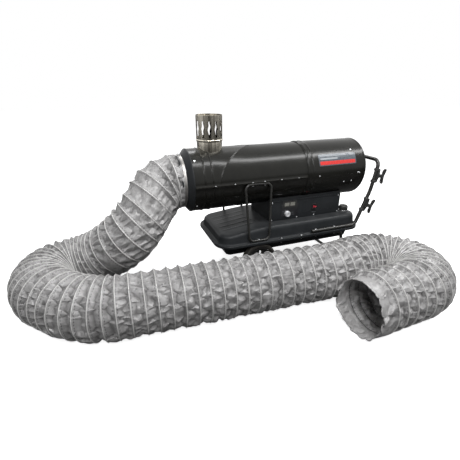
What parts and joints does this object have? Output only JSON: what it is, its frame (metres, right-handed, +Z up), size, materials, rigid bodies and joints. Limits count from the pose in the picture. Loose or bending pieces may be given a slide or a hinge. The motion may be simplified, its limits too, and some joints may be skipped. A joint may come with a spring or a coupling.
{
  "type": "indirect fired space heater",
  "caption": "Wheeled horizontal barrel heater over a fuel tank, with a slotted flue, control housing, push handle and a long flexible air duct on the floor.",
  "frame": {"origin": "on the floor under the middle of the heater's bounding box, its duct left out", "axes": "+X along the barrel from the warm air outlet to the fan and push handle, -Y the side of the control panel, +Z up"},
  "size_m": [1.8727, 1.0646, 0.802],
  "materials": {
    "black_enamel": "semi-gloss",
    "grey_enamel": "semi-gloss",
    "stainless": "bright satin",
    "dark_stainless": "satin",
    "burnt_steel": "heat stained",
    "brass": "satin",
    "cast_aluminium": "as cast",
    "dark_steel": "satin black",
    "bare_steel": "plated",
    "black_plastic": "matte",
    "rubber": "matte",
    "silver_paint": "gloss",
    "red_plastic": "gloss",
    "display_glass": "clear",
    "circuit_board": "matte",
    "earth_wire": "satin",
    "grey_cloth": "matt wrinkled cloth"
  },
  "bodies": {
    "heater": {"upper_front_shell": "black_enamel", "lower_front_shell": "black_enamel", "upper_rear_shell": "black_enamel", "lower_rear_shell": "black_enamel", "outlet_cone": "grey_enamel", "flue_pipe": "stainless", "flue_cowl": "stainless", "flue_lid": "dark_stainless", "combustion_chamber": "burnt_steel", "burner_head": "burnt_steel", "fuel_nozzle": "brass", "motor": "cast_aluminium", "motor_bracket": "dark_steel", "intake_guard": "dark_steel", "tank_upper": "grey_enamel", "tank_lower": "black_enamel", "filler_neck": "dark_steel", "drain_plug": "brass", "axle_carrier": "dark_steel", "axle": "bare_steel", "axle_nut_near": "bare_steel", "side_loop_near": "dark_steel", "axle_nut_far": "bare_steel", "side_loop_far": "dark_steel", "chassis_tube": "dark_steel", "handle": "dark_steel", "cord_winder_lower": "black_plastic", "cord_winder_upper": "black_plastic", "control_housing": "grey_enamel", "control_panel": "grey_enamel", "display_frame": "black_plastic", "display_lens_1": "display_glass", "display_lens_2": "display_glass", "thermostat_body": "black_plastic", "rocker_bezel": "black_plastic", "control_board": "circuit_board", "ignition_transformer": "black_plastic", "fuel_pump": "bare_steel", "cable_gland": "black_plastic", "earth_lead": "earth_wire", "flexible_duct": "grey_cloth", "clamp_band": "stainless", "clamp_screw": "stainless"},
    "fan_rotor": {"motor_shaft": "bare_steel", "fan": "cast_aluminium", "fan_nut": "bare_steel"},
    "wheel_near": {"wheel_near_tyre": "rubber", "wheel_near_hub": "black_plastic"},
    "wheel_far": {"wheel_far_tyre": "rubber", "wheel_far_hub": "black_plastic"},
    "knob": {"thermostat_knob": "silver_paint", "knob_spindle": "bare_steel"},
    "rocker": {"rocker_switch": "red_plastic"},
    "cap": {"fuel_cap": "black_plastic"}
  },
  "joints": [
    {"name": "fan_spin", "type": "hinge", "parent": "heater", "child": "fan_rotor", "pos_m": [0.34838, 0, 0.5], "axis": [1, 0, 0], "continuous": true},
    {"name": "wheel_near_spin", "type": "hinge", "parent": "heater", "child": "wheel_near", "pos_m": [-0.18462, -0.181, 0.093], "axis": [0, 1, 0], "continuous": true},
    {"name": "wheel_far_spin", "type": "hinge", "parent": "heater", "child": "wheel_far", "pos_m": [-0.18462, 0.181, 0.093], "axis": [0, 1, 0], "continuous": true},
    {"name": "thermostat_turn", "type": "hinge", "parent": "heater", "child": "knob", "pos_m": [-0.00062, -0.1218, 0.3033], "axis": [0, -1, 0], "range_deg": [-270, 0]},
    {"name": "rocker_tip", "type": "hinge", "parent": "heater", "child": "rocker", "pos_m": [0.16838, -0.1231, 0.3213], "axis": [1, 0, 0], "range_deg": [-16, 0]},
    {"name": "fuel_cap_lift", "type": "slide", "parent": "heater", "child": "cap", "axis": [0, 0, 1], "range_m": [0, 0.06]}
  ]
}
